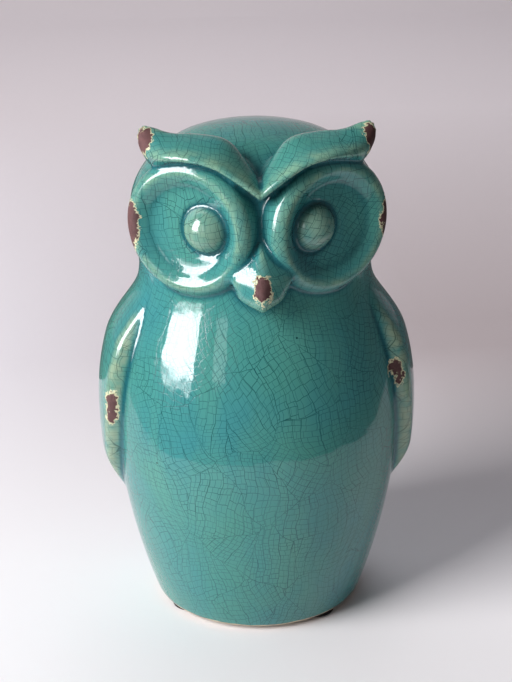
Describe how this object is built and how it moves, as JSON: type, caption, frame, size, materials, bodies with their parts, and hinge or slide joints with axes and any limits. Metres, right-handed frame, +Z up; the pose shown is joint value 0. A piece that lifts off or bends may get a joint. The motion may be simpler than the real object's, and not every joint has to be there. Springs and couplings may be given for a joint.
{
  "type": "figural coin bank",
  "caption": "Standing owl coin bank in crackle-glazed ceramic, with a coin slot behind the head, a pull-out bung in the base and foam pads under the foot.",
  "frame": {"origin": "centre of the bounding box's base, on the plane that the foot pads rest on, on the axis of the body", "axes": "+Z up to the crown, the owl looks along -Y, +X is to the viewer's right"},
  "size_m": [0.1588, 0.1378, 0.2576],
  "materials": {
    "glazed_ceramic": "glossy turquoise crackle glaze with brown chips",
    "soft_vinyl": "moulded, matt, slightly translucent",
    "foam_pad": "die-cut black foam, matt"
  },
  "bodies": {
    "bank": {"ceramic_shell": "glazed_ceramic", "foot_pad_front_left": "foam_pad", "foot_pad_front_right": "foam_pad", "foot_pad_rear_left": "foam_pad", "foot_pad_rear_right": "foam_pad"},
    "stopper": {"base_stopper": "soft_vinyl"}
  },
  "joints": [
    {"name": "stopper_pull", "type": "slide", "parent": "bank", "child": "stopper", "axis": [0, 0, -1], "range_m": [0, 0.03]}
  ]
}
